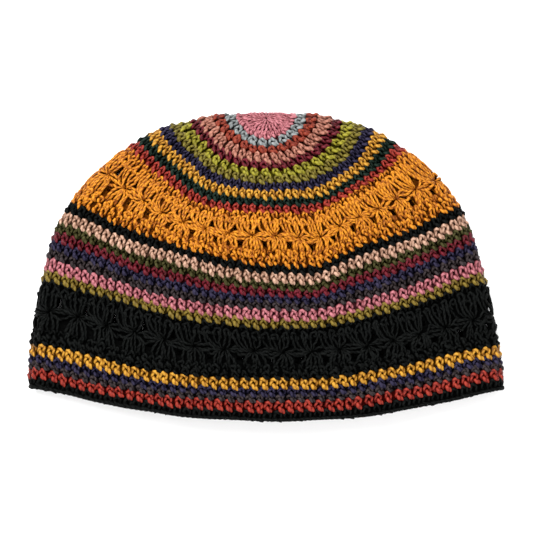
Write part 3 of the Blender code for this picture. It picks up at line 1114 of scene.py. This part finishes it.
def fibres(tree, along, turned, tone):
    """Long flecks that follow the twist and differ by strand; in the colour, partly painted glints.
    """
    across = tree.nodes.new("ShaderNodeCombineXYZ")
    link(tree, math_node(tree, "MULTIPLY", turned, FIBRE_ACROSS), across.inputs[0])
    link(tree, math_node(tree, "MULTIPLY", along, FIBRE_ALONG), across.inputs[1])
    link(tree, math_node(tree, "MULTIPLY", tone, FIBRE_APART), across.inputs[2])
    return sharpen(tree, noise(tree, across.outputs[0], FIBRE_SCALE, FIBRE_DETAIL))


def strand_material(name, yarn):
    """Two-ply cotton, with fibres that run along its twist."""
    tree, along, around = new_material(name)
    turned = math_node(tree, "SUBTRACT", around, math_node(tree, "DIVIDE", along, PLY_TURN))
    wave = math_node(tree, "COSINE", math_node(tree, "MULTIPLY", turned, 2 * math.pi))
    ply = math_node(tree, "ABSOLUTE", wave)
    tone = attribute(tree, "tone")
    fibre = fibres(tree, along, turned, tone)
    where = tree.nodes.new("ShaderNodeTexCoord").outputs["Object"]
    # Flecks of random tone that also stand in for glints of light: partly painted highlight
    fleck_glint = sharpen(tree, noise(tree, where, FLECK_GLINT_SCALE, FLECK_GLINT_DETAIL))
    # Painted light and shade: dark ply grooves, light ply crests, glints, and shade between strands
    shade = math_node(tree, "MULTIPLY_ADD", tone, TONE_SHADE, SHADE_START)
    for look, weight in ((ply, PLY_SHADE), (fibre, FIBRE_GLINT_SHADE), (fleck_glint, FLECK_GLINT_SHADE)):
        shade = math_node(tree, "MULTIPLY_ADD", look, weight, shade)
    shade = math_node(tree, "MULTIPLY", shade, depth_shade(tree))
    height = math_node(tree, "MULTIPLY_ADD", fibre, FIBRE_RELIEF, ply)
    shader = yarn_shader(tree, yarn, shade, height, STRAND_RELIEF)
    roughness = math_node(tree, "MULTIPLY_ADD", fibre, FIBRE_ROUGHNESS, STRAND_ROUGHNESS)
    link(tree, roughness, shader.inputs["Roughness"])


# How the fabric's loops and its patches of light and shade look. Its outer side, deep
# between the stitches, has only OUTER_SHADE of that light, and INNER_SHADE more inside.
LOOP_TURN = 1.4
PATCH_SCALE = 400.0
PATCH_DETAIL = 3.0
FABRIC_START = 0.40
LOOP_SHADE = 0.30
PATCH_SHADE = 0.30
OUTER_SHADE = 0.20
INNER_SHADE = 0.80
FABRIC_RELIEF = 0.6
FABRIC_ROUGHNESS = 0.9


def ripple(tree, place, turn):
    """Rises and falls from 0 to 1 along a coordinate."""
    wave = math_node(tree, "SINE", math_node(tree, "MULTIPLY", place, turn))
    return math_node(tree, "ABSOLUTE", wave)


def fabric_material(name, yarn):
    """The same yarn seen as fabric, inside the cap and deep between the stitches."""
    tree, across, down = new_material(name)
    loops = math_node(tree, "MULTIPLY", ripple(tree, across, math.pi), ripple(tree, down, LOOP_TURN))
    where = tree.nodes.new("ShaderNodeTexCoord").outputs["Object"]
    patch = noise(tree, where, PATCH_SCALE, PATCH_DETAIL)
    shade = math_node(tree, "MULTIPLY_ADD", loops, LOOP_SHADE, FABRIC_START)
    shade = math_node(tree, "MULTIPLY_ADD", patch, PATCH_SHADE, shade)
    side = math_node(tree, "MULTIPLY_ADD", attribute(tree, "tone"), INNER_SHADE, OUTER_SHADE)
    shade = math_node(tree, "MULTIPLY", shade, side)
    relief = math_node(tree, "ADD", loops, patch)
    shader = yarn_shader(tree, yarn, shade, relief, FABRIC_RELIEF)
    shader.inputs["Roughness"].default_value = FABRIC_ROUGHNESS
    shader.inputs["Specular IOR Level"].default_value = FABRIC_GLOSS


def materials_for(color):
    """The two materials of a yarn, made when it is first used."""
    strand, fabric = color + "_strand", color + "_fabric"
    if strand not in bpy.data.materials:
        strand_material(strand, YARNS[color])
        fabric_material(fabric, YARNS[color])
    return bpy.data.materials[strand], bpy.data.materials[fabric]


def make_cap():
    start = 0.0
    phase = 0.0
    for part in ROUNDS:
        if part.node.startswith("crown"):
            mesh = crown(part, start, phase)
        elif part.node.startswith("star_band"):
            mesh = star_band(part, start, phase)
        elif part.node.startswith("rim"):
            mesh = rim(part, start, phase)
        else:
            mesh = crochet_round(part, start, phase)
        piece = mesh.build(part.node + "_stitches", materials_for(part.yarn))
        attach(piece, "root")
        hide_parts(part.node)
        start += part.depth
        phase += ROUND_SLIP


# The camera hangs above the cap, as the photograph was taken. VIEW_SPAN is how much it sees
# from side to side, CAMERA_FOCUS above the floor.
VIEW_SPAN = 0.3102
CAMERA_HEIGHT = 4.0
CAMERA_FOCUS = 0.010
VIEW_MIDDLE = (0.0, -0.0003)
SENSOR = 36.0


def make_camera():
    data = bpy.data.cameras.new("camera")
    data.sensor_width = SENSOR
    data.lens = SENSOR * (CAMERA_HEIGHT - CAMERA_FOCUS) / VIEW_SPAN
    camera = bpy.data.objects.new("camera", data)
    camera.location = (*VIEW_MIDDLE, CAMERA_HEIGHT)
    bpy.context.scene.collection.objects.link(camera)
    bpy.context.scene.camera = camera


FLOOR_SIZE = 6.0
FLOOR_COLOR = (0.98, 0.98, 0.98, 1.0)
FLOOR_ROUGHNESS = 0.9


def make_floor():
    bpy.ops.mesh.primitive_plane_add(size=FLOOR_SIZE)
    floor = bpy.context.object
    floor.name = "floor"
    material = bpy.data.materials.new("floor")
    material.use_nodes = True
    shader = material.node_tree.nodes["Principled BSDF"]
    shader.inputs["Base Color"].default_value = FLOOR_COLOR
    shader.inputs["Roughness"].default_value = FLOOR_ROUGHNESS
    floor.data.materials.append(material)


Lamp = namedtuple("Lamp", "name place size power")
LAMPS = (
    Lamp("key", (-0.40, 0.80, 1.15), 1.2, 42.0),
    Lamp("fill", (0.6, -0.9, 1.2), 1.6, 20.0),
)
SKY_COLOR = (1.0, 1.0, 1.0, 1.0)
SKY = 0.79


def make_lights():
    for lamp in LAMPS:
        data = bpy.data.lights.new(lamp.name, "AREA")
        data.size = lamp.size
        data.energy = lamp.power
        item = bpy.data.objects.new(lamp.name, data)
        item.location = lamp.place
        item.rotation_mode = "QUATERNION"
        item.rotation_quaternion = Vector(lamp.place).to_track_quat("Z", "Y")
        bpy.context.scene.collection.objects.link(item)
    world = bpy.data.worlds.new("sky")
    world.use_nodes = True
    background = world.node_tree.nodes["Background"]
    background.inputs["Color"].default_value = SKY_COLOR
    background.inputs["Strength"].default_value = SKY
    bpy.context.scene.world = world
    bpy.context.scene.view_settings.view_transform = "Standard"


make_cap()
make_camera()
make_floor()
make_lights()
